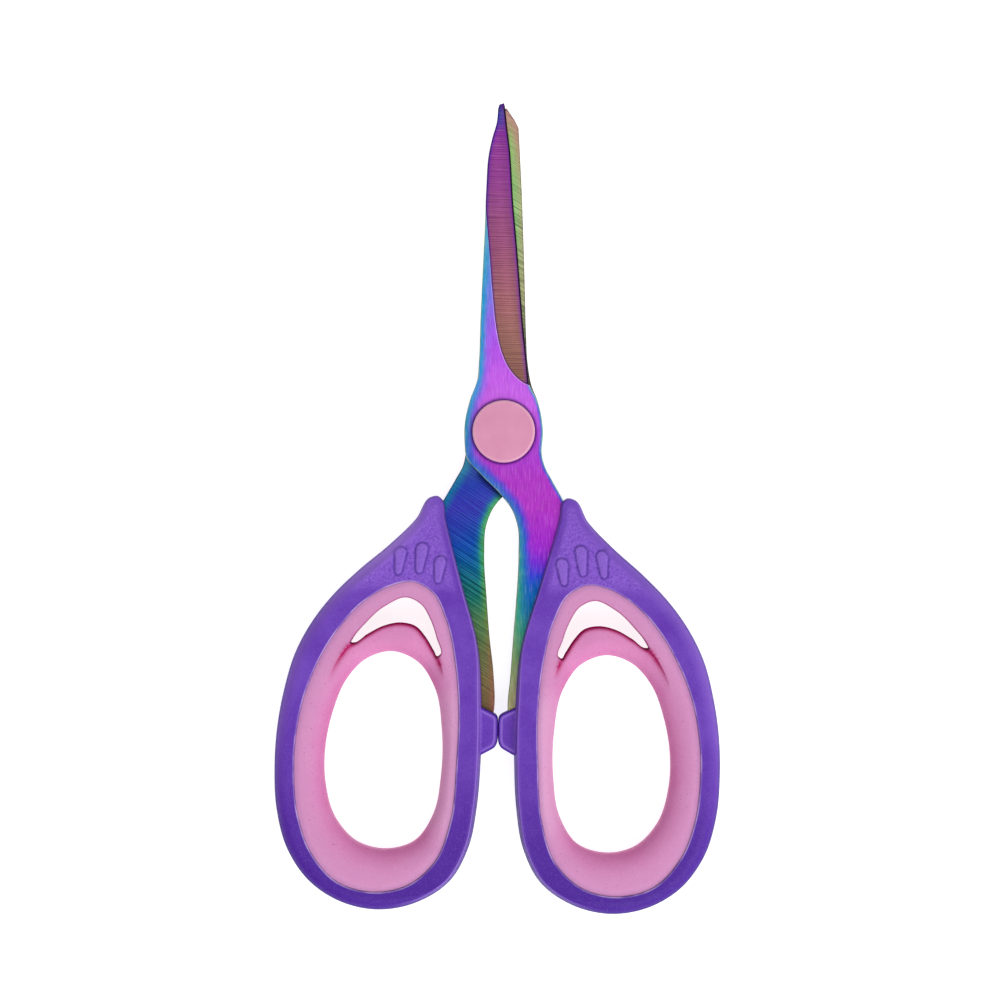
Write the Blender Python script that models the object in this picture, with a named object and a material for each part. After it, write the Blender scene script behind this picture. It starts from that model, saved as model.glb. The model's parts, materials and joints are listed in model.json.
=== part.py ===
"""Soft-grip craft scissors, lying flat and closed.

+Y runs towards the blade tips, +X to the right, +Z up out of the front face. The origin is the
middle of the footprint, on the surface that the handles lie on. Every outline is in millimetres
from the pivot: u to the right and v towards the tips. Heights are in millimetres from the middle
plane, where the two blades slide on each other.
"""
import math

import bmesh
import bpy
import numpy as np
from mathutils import Vector

MM = 0.001

# Overall
REACH = 67.2                # pivot to the longer tip
TAIL = 98.1                 # pivot to the end of the bows
HANDLE_THICK = 10.4
PIVOT = Vector((0.0, (TAIL - REACH) / 2, HANDLE_THICK / 2)) * MM

# Blades
BLADE_THICK = 1.8
BLADE_LIFT = 0.15           # each blade's inner face to the middle plane
GRIND_DEPTH = 1.4           # steel taken off at the cutting edge
GRIND_WIDTH = 4.6           # from the grind line to full depth
TANG_HOLE_R = 1.1
TANG_HOLES = [(12.5, -21.0), (11.0, -28.0)]

# Pivot stack, heights counted outwards from a blade's outer face
SHANK_R = 2.0
RUNNING_GAP = 0.08
WASHER_R = 3.5
WASHER = (0.1, 0.4)
HEAD_NECK_R = 3.3
HEAD_R = 4.0
HEAD = (0.5, 0.7, 1.5)
CAP_R = 6.35
CAP_ROUND = 0.8
CAP_BORE_R = 4.25
CAP_LIP_R = 3.65
CAP = (0.25, 0.6, 1.7, 2.65)     # foot, top of the snap lip, ceiling, crown

# Handles
HALF = HANDLE_THICK / 2
NOSE_DROP = 0.65            # how much thinner each face gets out to the nose
PANEL_DROP = 0.25           # the sunk panel round the raised drops
OUTER_EDGE_R = 2.6
INNER_EDGE_R = 1.3
NOSE_EDGE_R = 0.5
BAND_EDGE = 0.35            # small chamfer where the frame meets the grip
GROOVE_DEPTH = 1.3
GROOVE_HALF = 1.3
FIT_GAP = 0.1               # between parts that are moulded together
STOP_HALF = 3.0
DROP_RELIEF = 0.25
LOOP_CENTRE = np.array([22.5, -66.0])

# Grip
GRIP_EDGE_HALF = 4.55       # beside the frame
GRIP_CREST_HALF = 4.8
GRIP_WALL_HALF = 1.7        # flat part of the finger hole's wall
GRIP_ROUND = 5.0            # widest fall from the crest to the wall

# Tessellation
SWEEP_STEPS = 56
TURN_STEPS = 32

NOSE = [(12.4, -13.9), (13.25, -13.3), (14.5, -13.5)]
BOW = [(14.5, -13.5), (17.5, -18), (22.5, -23.1), (29.1, -28.8), (34.2, -33.9), (38.1, -39),
       (41.6, -45.6), (43.9, -53.7), (45.2, -62), (45.5, -69.5), (44.9, -78), (42.5, -86.2),
       (37.9, -92.6), (31.0, -96.8), (23.8, -98.1), (15.9, -96.5), (9.2, -92), (5.5, -85),
       (4.0, -77), (3.4, -68), (3.4, -56), (4.3, -44.5), (8.2, -30.3), (11.5, -17.9),
       (12.4, -13.9)]
BAND = [(17.7, -31.0), (22.5, -31.9), (27.9, -35.2), (32.1, -39.7), (36.2, -46.2), (39.4, -54),
        (41.1, -62.5), (41.4, -70), (40.4, -79), (37.6, -86.5), (32.1, -92.4), (25.0, -94.3),
        (17.8, -92.8), (12.4, -88), (9.3, -79.5), (8.3, -68), (8.1, -56), (9.0, -47),
        (11.1, -38.2), (13.9, -33.0)]
HOLE = [(21.8, -45.3), (27.0, -46.8), (31.1, -51.1), (33.9, -58), (35.3, -65.5), (35.1, -72.5),
        (33.0, -79.5), (28.4, -84.4), (22.4, -85.8), (16.6, -84.0), (13.0, -78.6),
        (11.5, -70.5), (11.5, -61), (13.2, -52.3), (16.6, -47.4)]
CRESCENT = [(12.2, -46.0), (12.9, -42.2), (14.2, -38.6), (16.2, -35.5), (19.0, -34.2),
            (23.4, -36.0), (27.6, -39.8), (30.3, -43.2), (30.4, -43.8), (30.0, -43.9),
            (27.1, -42.0), (23.8, -40.2), (20.3, -39.5), (17.3, -40.2), (15.2, -42.4),
            (13.5, -45.1), (12.7, -46.3)]
STOP = [(4.6, -55.9), (3.5, -56.4), (0.3, -58.2), (0.04, -59.2), (0.04, -62.6), (0.6, -64.4),
        (3.4, -66.1), (4.6, -66.6)]
DROPS = [((20.7, -26.75), 2.6, 5.7), ((16.4, -26.1), 2.75, 6.3), ((12.6, -28.4), 2.55, 5.6)]
DROP_LEAN = 0.11            # sideways run of a drop's narrow end, per unit of its length

# Each blade is its tip, spine, lower boss, tang and cutting edge, in order round the outline.
# The second blade's points are given in its own mirror image, so both read the same way.
FRONT_TIP = [(-1.0, 66.4), (-1.2, 67.2), (-2.15, 66.9), (-2.4, 66.1)]
FRONT_SPINE = [(-2.4, 66.1), (-2.6, 63.4), (-3.5, 59.9), (-4.15, 56.5), (-4.5, 50), (-4.65, 42),
               (-4.95, 32), (-5.2, 22), (-5.35, 14), (-5.65, 10.3), (-7.0, 6.4), (-8.0, 1.5),
               (-7.95, -2.6), (-7.6, -5.2)]
FRONT_EDGE = [(4.95, 9.8), (4.3, 15), (3.4, 21.5), (2.8, 27), (1.8, 37), (0.7, 47.2),
              (-0.1, 57.5), (-0.75, 63.6), (-1.0, 66.4)]
REAR_TIP = [(1.0, 66.0), (0.7, 66.2), (-1.0, 63.8), (-1.85, 62.2)]
REAR_SPINE = [(-1.85, 62.2), (-2.15, 58), (-2.7, 50), (-3.25, 40), (-3.75, 30), (-4.2, 20),
              (-4.65, 14), (-5.5, 9.6), (-6.9, 6.2), (-7.9, 1.5), (-7.8, -2.6), (-7.5, -5.2)]
REAR_EDGE = [(5.2, 9.8), (4.9, 15), (4.5, 20), (3.9, 27), (3.1, 37), (2.4, 47), (1.8, 57),
             (1.3, 62.5), (1.0, 66.0)]
LOWER_BOSS = [(-4.4, -9.0), (-0.5, -12.8), (2.0, -16.0), (3.2, -19.3), (3.5, -25)]
FRONT_TANG = [(3.2, -34.5), (2.8, -41), (2.3, -50), (1.9, -57), (2.4, -60.5)]
REAR_TANG = [(2.85, -34), (2.1, -42), (1.1, -50), (0.9, -57), (1.6, -60.5)]
TANG_END = [(3.9, -61.4), (5.2, -60.6)]
TANG_BACK = [(5.8, -55), (6.9, -45), (9.4, -36), (12.9, -27.5), (14.2, -21)]
FRONT_SHANK = [(13.5, -16), (12.3, -13.6), (10.1, -9.8), (8.6, -7.1), (7.9, -4.6), (8.05, 0.0),
               (7.1, 5.4), (4.95, 9.8)]
REAR_SHANK = [(13.0, -16), (11.7, -13.6), (9.6, -9.8), (8.2, -7.1), (7.7, -4.6), (7.8, 0.0),
              (6.9, 5.6), (5.2, 9.8)]
GRIND_LINE = [(-7.0, 75.0), (-5.4, 56.0), (-4.5, 44.7), (-3.7, 37.0), (-2.7, 26.8), (-1.9, 20.8),
              (-0.8, 16.3), (1.2, 12.4), (3.7, 10.1), (6.6, 9.0)]


def curve(points, per_span=4, closed=False):
    """Points along a smooth curve that passes through all the given ones."""
    knots = np.array(points, float)
    if closed:
        knots = np.vstack([knots[-1], knots, knots[:2]])
    else:
        knots = np.vstack([2 * knots[0] - knots[1], knots, 2 * knots[-1] - knots[-2]])
    found = []
    for a, b, c, d in zip(knots, knots[1:], knots[2:], knots[3:]):
        before, span, after = (math.dist(p, q) for p, q in ((a, b), (b, c), (c, d)))
        leave = (b - a) * span / before * span + (c - b) * before
        reach = (c - b) * after + (d - c) * span / after * span
        leave, reach = leave / (before + span), reach / (span + after)
        for t in np.arange(per_span) / per_span:
            found.append((2 * t**3 - 3 * t**2 + 1) * b + (t**3 - 2 * t**2 + t) * leave
                         + (3 * t**2 - 2 * t**3) * c + (t**3 - t**2) * reach)
    if not closed:
        found.append(knots[-2])
    return np.array(found)


def spaced(line, steps):
    """The same open line in equal steps, with both of its ends."""
    run = np.concatenate([[0], np.cumsum(np.linalg.norm(np.diff(line, axis=0), axis=1))])
    at = np.linspace(0, run[-1], steps + 1)
    return np.column_stack([np.interp(at, run, line[:, k]) for k in range(2)])


def smoothstep(low, high, x):
    t = np.clip((x - low) / (high - low), 0, 1)
    return t * t * (3 - 2 * t)


def along_rays(loop, angles):
    """Where rays from the middle of the bow cross a closed loop round it."""
    offset = loop - LOOP_CENTRE
    reach = np.interp(angles, np.arctan2(offset[:, 1], offset[:, 0]),
                      np.hypot(offset[:, 0], offset[:, 1]), period=2 * math.pi)
    return LOOP_CENTRE + reach[:, None] * np.column_stack([np.cos(angles), np.sin(angles)])


def inset(ring, distance):
    """A ring moved towards its inside, or outwards where the distance is negative."""
    after, before = np.roll(ring, -1, axis=0), np.roll(ring, 1, axis=0)
    turn = np.sign(np.sum(ring[:, 0] * after[:, 1] - ring[:, 1] * after[:, 0]))
    tangent = after - before
    inward = np.column_stack([-tangent[:, 1], tangent[:, 0]]) * turn
    inward /= np.linalg.norm(inward, axis=1)[:, None]
    return ring + inward * np.broadcast_to(distance, len(ring))[:, None]


def face_half(ring):
    """Half the handle's thickness at each point of a ring."""
    v = ring[:, 1]
    out = np.clip((v + 30.0) / 16.5, 0, 1)
    return HALF - PANEL_DROP * smoothstep(-33.0, -30.0, v) - NOSE_DROP * out**1.5


def new_object(name, bm, material=None):
    """Turns a bmesh in millimetres about the pivot into a named object."""
    bmesh.ops.recalc_face_normals(bm, faces=bm.faces)
    bmesh.ops.scale(bm, vec=(MM, MM, MM), verts=bm.verts)
    mesh = bpy.data.meshes.new(name)
    bm.to_mesh(mesh)
    bm.free()
    made = bpy.data.objects.new(name, mesh)
    made.location = PIVOT
    bpy.context.scene.collection.objects.link(made)
    if material:
        mesh.materials.append(material)
        mesh.shade_smooth()
        mesh.set_sharp_from_angle(angle=math.radians(35))
    else:
        made.hide_render = True
        made.display_type = "WIRE"
    return made


def add_tube(bm, rings):
    """A closed skin through rings of matching points, the last one joined to the first."""
    grid = [[bm.verts.new(point) for point in ring] for ring in rings]
    for low, high in zip(grid, grid[1:] + grid[:1]):
        for i, corner in enumerate(low):
            bm.faces.new((low[i - 1], corner, high[i], high[i - 1]))


def add_plate(bm, outline, low, high):
    """A flat plate of any outline between two heights."""
    bottom = bm.faces.new([bm.verts.new((u, v, low)) for u, v in outline])
    lifted = bmesh.ops.extrude_face_region(bm, geom=[bottom])["geom"]
    bmesh.ops.translate(bm, vec=(0, 0, high - low),
                        verts=[item for item in lifted if isinstance(item, bmesh.types.BMVert)])


def add_turned(bm, profile):
    """A round piece about the pivot, from a profile that starts and ends on its axis."""
    points = [bm.verts.new((r, 0, z)) for r, z in profile]
    edges = [bm.edges.new(pair) for pair in zip(points, points[1:])]
    bmesh.ops.spin(bm, geom=points + edges, cent=(0, 0, 0), axis=(0, 0, 1),
                   angle=2 * math.pi, steps=TURN_STEPS, use_merge=True)
    bmesh.ops.remove_doubles(bm, verts=bm.verts, dist=1e-4)


def add_cylinder(bm, radius, low, high, centre=(0.0, 0.0), steps=TURN_STEPS):
    turn = [2 * math.pi * k / steps for k in range(steps)]
    add_plate(bm, [(centre[0] + radius * math.cos(a), centre[1] + radius * math.sin(a))
                   for a in turn], low, high)


def cut(body, operation, build, *settings):
    """Adds to a body, or takes from it, the shapes that a build function makes."""
    bm = bmesh.new()
    build(bm, *settings)
    tool = new_object(f"{body.name}_{build.__name__}", bm)
    step = body.modifiers.new(operation.title(), "BOOLEAN")
    step.operation = operation
    step.solver = "EXACT"
    step.object = tool


def finish(name, colour, metallic, roughness):
    made = bpy.data.materials.new(name)
    made.use_nodes = True
    shader = made.node_tree.nodes["Principled BSDF"]
    shader.inputs["Base Color"].default_value = (*colour, 1)
    shader.inputs["Metallic"].default_value = metallic
    shader.inputs["Roughness"].default_value = roughness
    return made


def blade_outline(tip, spine, tang, shank, edge):
    """One blade with its tang on the right, counter-clockwise from the tip."""
    inner = curve(spine + LOWER_BOSS + tang)
    outer = curve(TANG_END + TANG_BACK + shank)
    return np.vstack([tip[:-1], inner, outer, curve(edge)[1:-1]])


def grind_depth(u, v, line):
    """Steel taken off at a point: nothing on the grind line, and less than that left of it."""
    distance = np.hypot(line[:, 0] - u, line[:, 1] - v).min()
    if u < np.interp(-v, -line[:, 1], line[:, 0]):
        return -distance * 0.5
    return GRIND_DEPTH * math.sin(min(distance / GRIND_WIDTH, 1) * math.pi / 2)


def add_grind(bm, side, up, edge):
    """What the wheel takes off a blade's outer face, for a blade on one side of the middle."""
    line = curve(GRIND_LINE, per_span=8)
    face = BLADE_LIFT + BLADE_THICK
    rows = []
    for v in np.concatenate([np.linspace(9.2, 20, 9), np.linspace(24, 70, 12)]):
        start = np.interp(-v, -line[:, 1], line[:, 0])
        end = np.interp(v, edge[:, 1], edge[:, 0]) + 2.5
        across = np.concatenate([[start - 1.0], np.linspace(start, max(end, start + 1.5), 5)])
        rows.append([(side * u, v, up * (face - grind_depth(u, v, line))) for u in across])
    clear = up * (face + 3)
    lower = [[bm.verts.new(point) for point in row] for row in rows]
    upper = [[bm.verts.new((u, v, clear)) for u, v, _ in row] for row in rows]
    for grid in (lower, upper):
        for near, far in zip(grid, grid[1:]):
            for i in range(len(near) - 1):
                bm.faces.new((near[i], near[i + 1], far[i + 1], far[i]))
    rims = [(lower[0], upper[0]), (lower[-1], upper[-1])]
    rims += [([row[k] for row in lower], [row[k] for row in upper]) for k in (0, -1)]
    for base, top in rims:
        for i in range(len(base) - 1):
            bm.faces.new((base[i], base[i + 1], top[i + 1], top[i]))


def add_blade_cuts(bm, side, up, edge):
    """The grind, the pivot hole and the holes that the handle's plastic runs through."""
    add_grind(bm, side, up, curve(edge))
    add_cylinder(bm, SHANK_R + RUNNING_GAP, -HALF, HALF)
    for u, v in TANG_HOLES:
        add_cylinder(bm, TANG_HOLE_R, -HALF, HALF, (side * u, v), steps=20)


def blade(name, side, up, outline, edge, material):
    bm = bmesh.new()
    add_plate(bm, outline * (side, 1), up * BLADE_LIFT, up * (BLADE_LIFT + BLADE_THICK))
    made = new_object(name, bm, material)
    cut(made, "DIFFERENCE", add_blade_cuts, side, up, edge)
    return made


def bow_rings():
    """Matching rings round one bow: its outside, the frame's inner edge, and the finger hole."""
    sweep = spaced(curve(BOW), SWEEP_STEPS)
    outer = np.vstack([NOSE[:-1], sweep[:-1]])
    angles = np.arctan2(outer[:, 1] - LOOP_CENTRE[1], outer[:, 0] - LOOP_CENTRE[0])
    return (outer, along_rays(curve(BAND, closed=True), angles),
            along_rays(curve(HOLE, closed=True), angles))


def edge_radius(ring):
    """Wide on the outside of the bow, small towards the other handle and at the nose."""
    wide = INNER_EDGE_R + (OUTER_EDGE_R - INNER_EDGE_R) * smoothstep(8.0, 26.0, ring[:, 0])
    return np.minimum(wide, NOSE_EDGE_R + 0.15 * (NOSE[1][1] - ring[:, 1]))


def both_faces(upper, side):
    """Rings of 3-D points down one section, from its upper half given as (ring, height)."""
    rings = [(ring, z) for ring, z in upper] + [(ring, -z) for ring, z in upper[::-1]]
    return [[(side * u, v, h) for (u, v), h in zip(ring, np.broadcast_to(z, len(ring)))]
            for ring, z in rings]


def add_slot(bm, side, up, outline):
    """Room for the tang, open towards the other handle."""
    ring = outline[outline[:, 1] < -8.0]
    ring = inset(ring, -FIT_GAP) * (side, 1)
    add_plate(bm, ring, up * (BLADE_LIFT - FIT_GAP), up * (BLADE_LIFT + BLADE_THICK + FIT_GAP))


def drop_outline(centre, width, length, steps=18):
    """A teardrop: a circle whose lower half is drawn in and out to a narrow end."""
    points = []
    for k in range(steps):
        turn = 2 * math.pi * k / steps
        rise = math.sin(turn)
        narrow = 1 - 0.42 * smoothstep(0.6, -1.0, rise)
        u = width / 2 * math.cos(turn) * narrow - DROP_LEAN * length / 2 * rise
        points.append((centre[0] + u, centre[1] + length / 2 * rise))
    return points


def add_stop_and_drops(bm, side):
    """The block that meets the other handle's, and the raised drops on both faces."""
    add_plate(bm, [(side * u, v) for u, v in STOP], -STOP_HALF, STOP_HALF)
    for centre, width, length in DROPS:
        outline = np.array(drop_outline(centre, width, length))
        crest = face_half(np.array([centre]))[0] + DROP_RELIEF
        for low, high in ((HALF - 1.2, crest), (-crest, 1.2 - HALF)):
            add_plate(bm, outline * (side, 1), low, high)


def add_keys(bm, side, up):
    """The frame's plastic where it runs through the holes in the tang."""
    for u, v in TANG_HOLES:
        reach = BLADE_LIFT + BLADE_THICK + 0.6
        low, high = sorted((-up * 0.4, up * reach))
        add_cylinder(bm, TANG_HOLE_R - FIT_GAP, low, high, (side * u, v), steps=20)


def handle_frame(name, side, up, tang_outline, material):
    outer, band, _ = bow_rings()
    radius = edge_radius(outer)
    upper = []
    for turn in np.radians([0, 30, 60, 90]):
        ring = inset(outer, radius * (1 - math.cos(turn)))
        upper.append((ring, face_half(outer) - radius * (1 - math.sin(turn))))
    lip = inset(band, -FIT_GAP / 2)
    chamfer = inset(band, -BAND_EDGE)
    upper += [(chamfer, face_half(chamfer)), (lip, face_half(lip) - BAND_EDGE),
              (lip, GROOVE_HALF), (inset(band, -GROOVE_DEPTH), GROOVE_HALF)]
    bm = bmesh.new()
    add_tube(bm, both_faces(upper, side))
    made = new_object(name, bm, material)
    cut(made, "UNION", add_stop_and_drops, side)
    cut(made, "DIFFERENCE", add_slot, side, up, tang_outline)
    cut(made, "UNION", add_keys, side, up)
    return made


def add_crescent(bm, side):
    outline = curve(CRESCENT, per_span=3, closed=True) * (side, 1)
    add_plate(bm, outline, -HANDLE_THICK, HANDLE_THICK)


def grip(name, side, material):
    _, band, hole = bow_rings()
    edge = inset(band, FIT_GAP / 2)
    width = np.linalg.norm(hole - edge, axis=1)
    inward = (hole - edge) / width[:, None]
    fall = np.minimum(width * 0.9, GRIP_ROUND)
    rise = GRIP_CREST_HALF - GRIP_WALL_HALF
    tongue = inset(band, FIT_GAP - GROOVE_DEPTH)
    upper = [(tongue, GROOVE_HALF - FIT_GAP), (edge, GROOVE_HALF - FIT_GAP),
             (edge, GRIP_EDGE_HALF)]
    for turn in np.radians([90, 55, 25, 0]):
        back = fall * (1 - math.cos(turn))
        upper.append((hole - inward * back[:, None], GRIP_WALL_HALF + rise * math.sin(turn)))
    bm = bmesh.new()
    add_tube(bm, both_faces(upper, side))
    made = new_object(name, bm, material)
    cut(made, "DIFFERENCE", add_crescent, side)
    return made


def turned(name, profile, material):
    bm = bmesh.new()
    add_turned(bm, profile)
    return new_object(name, bm, material)


def washer(name, up, material, dish=0.0):
    """A flat washer, or a dished one whose inner rim stands away from the blade."""
    face = BLADE_LIFT + BLADE_THICK
    bore = SHANK_R + 0.15
    low, high = WASHER
    ring = [(bore, low + dish), (WASHER_R, low), (WASHER_R, high - dish), (bore, high)]
    bm = bmesh.new()
    rings = [[(r * math.cos(a), r * math.sin(a), up * (face + z))
              for a in np.arange(TURN_STEPS) * 2 * math.pi / TURN_STEPS] for r, z in ring]
    add_tube(bm, rings)
    return new_object(name, bm, material)


def rivet(name, material):
    """Shank through both blades, with a head over each washer."""
    face = BLADE_LIFT + BLADE_THICK
    low, neck, top = (face + z for z in HEAD)
    half = [(0, top), (HEAD_R - 0.5, top), (HEAD_R, top - 0.3), (HEAD_R, neck),
            (HEAD_NECK_R, neck), (HEAD_NECK_R, low), (SHANK_R, low)]
    return turned(name, half + [(r, -z) for r, z in half[::-1]], material)


def cap(name, up, material):
    """A round cover that snaps over a rivet head, hollow underneath."""
    face = BLADE_LIFT + BLADE_THICK
    foot, lip, ceiling, crown = (face + z for z in CAP)
    start = CAP_R - CAP_ROUND
    profile = [(0, crown), (3.4, crown - 0.04), (start - 0.1, crown - 0.16)]
    for turn in np.radians([60, 30, 0]):
        profile.append((start + CAP_ROUND * math.cos(turn),
                        crown - 0.18 - CAP_ROUND * (1 - math.sin(turn))))
    profile += [(CAP_R, foot + 0.2), (CAP_R - 0.2, foot), (CAP_LIP_R, foot), (CAP_LIP_R, lip - 0.1),
                (CAP_BORE_R, lip), (CAP_BORE_R, ceiling), (0, ceiling)]
    return turned(name, [(r, up * z) for r, z in profile], material)


def main():
    for old in list(bpy.data.objects):
        bpy.data.objects.remove(old, do_unlink=True)

    coated = finish("coated_steel", (0.42, 0.09, 0.55), 0.9, 0.3)
    purple = finish("purple_plastic", (0.17, 0.07, 0.50), 0.0, 0.5)
    pink = finish("pink_soft_grip", (0.67, 0.24, 0.47), 0.0, 0.6)
    cap_pink = finish("pink_cap", (0.73, 0.30, 0.47), 0.0, 0.45)
    steel = finish("plain_steel", (0.55, 0.55, 0.57), 1.0, 0.35)

    front_outline = blade_outline(FRONT_TIP, FRONT_SPINE, FRONT_TANG, FRONT_SHANK, FRONT_EDGE)
    rear_outline = blade_outline(REAR_TIP, REAR_SPINE, REAR_TANG, REAR_SHANK, REAR_EDGE)
    blade("front_blade", 1, 1, front_outline, FRONT_EDGE, coated)
    blade("rear_blade", -1, -1, rear_outline, REAR_EDGE, coated)
    handle_frame("right_handle_frame", 1, 1, front_outline, purple)
    handle_frame("left_handle_frame", -1, -1, rear_outline, purple)
    grip("right_grip_insert", 1, pink)
    grip("left_grip_insert", -1, pink)
    rivet("pivot_rivet", steel)
    washer("front_washer", 1, steel)
    washer("tension_washer", -1, steel, dish=0.12)
    cap("front_pivot_cap", 1, cap_pink)
    cap("rear_pivot_cap", -1, cap_pink)


main()
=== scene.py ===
"""Looks for the soft-grip craft scissors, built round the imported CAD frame.

Outlines are in millimetres from the pivot, u to the right and v towards the tips, for the right
handle and the front blade. The left handle is the mirror image, and the rear blade's points are
given in its own mirror image. Heights are in millimetres from the middle plane. Side is 1 for the
right handle with the front blade, which is on top, and -1 for the left one with the rear blade.
"""

import json
import math

import bmesh
import bpy
import numpy as np
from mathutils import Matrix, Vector
from mathutils.geometry import delaunay_2d_cdt


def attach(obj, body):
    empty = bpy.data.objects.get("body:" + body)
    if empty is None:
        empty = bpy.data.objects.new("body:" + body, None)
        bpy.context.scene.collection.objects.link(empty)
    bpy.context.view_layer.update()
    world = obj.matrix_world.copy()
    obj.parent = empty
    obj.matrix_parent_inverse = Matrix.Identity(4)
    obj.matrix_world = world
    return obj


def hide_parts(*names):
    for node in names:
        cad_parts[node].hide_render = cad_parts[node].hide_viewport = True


MM = 0.001
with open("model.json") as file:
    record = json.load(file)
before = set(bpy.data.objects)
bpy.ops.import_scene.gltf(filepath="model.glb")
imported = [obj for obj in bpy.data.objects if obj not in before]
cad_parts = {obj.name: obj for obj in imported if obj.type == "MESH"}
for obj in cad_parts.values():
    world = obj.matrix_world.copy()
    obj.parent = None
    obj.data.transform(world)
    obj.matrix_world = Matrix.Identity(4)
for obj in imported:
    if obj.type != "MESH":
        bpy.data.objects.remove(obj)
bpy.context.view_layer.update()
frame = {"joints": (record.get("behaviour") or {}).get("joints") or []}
PIVOT = np.array(frame["joints"][0]["pos_m"]) / MM
FRONT, REAR = "front_half", "rear_half"
SPAN_STEPS = 10  # between two points of a curve
TURN_STEPS = 128  # round a turned piece

# Blades
BLADE_THICK = 1.8
BLADE_LIFT = 0.15  # from the middle plane to a blade's inner face
FACE = BLADE_LIFT + BLADE_THICK
GRIND_DEPTH = 1.4
GRIND_WIDTH = 4.6
FACE_EDGE_R = 0.2
INNER_EDGE_R = 0.06
BORE_EDGE_R = 0.08
BORE_GAP = 0.08
STROKES_FALL = 32  # in degrees, on the inner face

# Bows: half their thickness, and what the nose and the panel with the teardrops take off it
HALF = 5.2
NOSE_DROP = 0.65
NOSE_START, NOSE_RUN, NOSE_TOP = -30, 16.5, -13.3
PANEL_DROP = 0.25
PANEL_START, PANEL_FULL = -34, -30
PANEL_SUNK = 0.1
OUTER_EDGE_R = 2.6
NOSE_EDGE_R = 0.5
BAND_EDGE_R = 0.18
# Insets and drops from a bow's face, over the crest and down the wall beside the other handle
FLANK = [
    (0.85, 0), (0.75, 0.02), (0.67, 0.08), (0.6, 0.19), (0.54, 0.36), (0.44, 0.9), (0.31, 1.6),
    (0.18, 2.3), (0.07, 2.9), (0.0, 3.2)]
STOP_HALF = 3.0
STOP_EDGE_R = 0.4
TANG_GAP = 0.03
TANG_TOP = -8  # the room for the tang starts below this v
DROP_RELIEF = 0.25
DROP_MOAT = 0.1  # depth of the groove round a teardrop

# Finger rings
GRIP_CREST = 4.95
GRIP_WALL = 1.7
GRIP_ROUND = 5.0  # how far in from the hole the round side reaches
GRIP_EDGE_DROP = 0.12
GRIP_GAP = 0.02
ARCH_DROP = 1.0

# Pivot: radii, and heights above a blade's face
CAP_R, CAP_EDGE_R, CAP_HOLLOW_R, CAP_MOUTH_R = 6.35, 0.45, 4.25, 3.65
CAP_TOP, CAP_SHOULDER, CAP_ROOF, CAP_FOOT = 2.65, 2.53, 1.72, 0.25
HEAD_R, COLLAR_R, SHANK_R = 4.0, 3.3, 2.0
HEAD_TOP, HEAD_FOOT, COLLAR_FOOT = 1.5, 0.7, 0.5
WASHER_R, WASHER_BORE_R, WASHER_FOOT, WASHER_TOP = 3.5, 2.15, 0.1, 0.4
DISH = 0.12  # how much higher the tension washer is at its bore

# How bright the studio light makes a surface that faces up, and what its sheen adds
PLASTIC = (1.11, 0.03)
METAL = (0.9, 0)

# Studio light
TENT = (0.30, 0.8)  # at the horizon, and from TENT_HIGH up
TENT_HIGH = 0.8
TENT_LEAN = 0.28  # brighter by this towards the right, and dimmer to the left
TENT_LEAST = 0.13
LAMP_POWER = 12.0
FLOOR_GLOW = 0.8

# Studio, in metres
LAMP_AT, LAMP_SIZE = (0.45, -0.80, 1.05), 1.3
FLOOR_REACH = 12.0
CAMERA_AT = (-0.00049, 0.00146, 0.9)
CAMERA_TURN = 1.1  # in degrees
VIEW_LEVEL = 0.008  # above the floor, where the view is VIEW_WIDTH across
VIEW_WIDTH = 0.204
SENSOR = 36  # in millimetres

BOW = [
    (12.4, -13.9), (13.25, -13.3), (14.5, -13.5), (17.5, -18), (22.5, -23.1), (29.1, -28.8),
    (34.2, -33.9), (38.1, -39), (41.6, -45.6), (43.9, -53.7), (45.2, -62), (45.5, -69.5),
    (44.9, -78), (42.5, -86.2), (37.9, -92.6), (31, -96.8), (23.8, -98.1), (15.9, -96.5),
    (9.2, -92), (5.5, -85), (4, -77), (3.4, -68), (3.4, -56), (4.3, -44.5), (8.2, -30.3),
    (11.5, -17.9)]
BAND = [
    (17.7, -31), (22.5, -31.9), (27.9, -35.2), (32.1, -39.7), (36.2, -46.2), (39.4, -54),
    (41.1, -62.5), (41.4, -70), (40.4, -79), (37.6, -86.5), (32.1, -92.4), (25, -94.3),
    (17.8, -92.8), (12.4, -88), (9.3, -79.5), (8.3, -68), (8.1, -56), (9, -47), (11.1, -38.2),
    (13.9, -33)]
HOLE = [
    (21.8, -45.3), (27, -46.8), (31.1, -51.1), (33.9, -58), (35.3, -65.5), (35.1, -72.5),
    (33, -79.5), (28.4, -84.4), (22.4, -85.8), (16.6, -84), (13, -78.6), (11.5, -70.5),
    (11.5, -61), (13.2, -52.3), (16.6, -47.4)]
CRESCENT = [
    (12.2, -46), (12.9, -42.2), (14.2, -38.6), (16.2, -35.5), (19, -34.2), (23.4, -36),
    (27.6, -39.8), (30.2, -43.1), (30.5, -43.75), (30.1, -43.8), (27.2, -42), (23.8, -40.2),
    (20.3, -39.5), (17.3, -40.2), (15.2, -42.4), (13.5, -45.1), (12.7, -46.3)]
# Dark spots of painted crease shade just past the crescent's ends, and the radius and count of the
# points round each
HORNS = [(30.85, -44.35), (31.35, -45.05), (31.9, -45.9), (12.4, -46.95), (12.15, -47.7)]
HORN_R = 0.55
HORN_ROWS = [(0.02, 1), (0.22, 6), (0.45, 12), (0.75, 18)]
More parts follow.
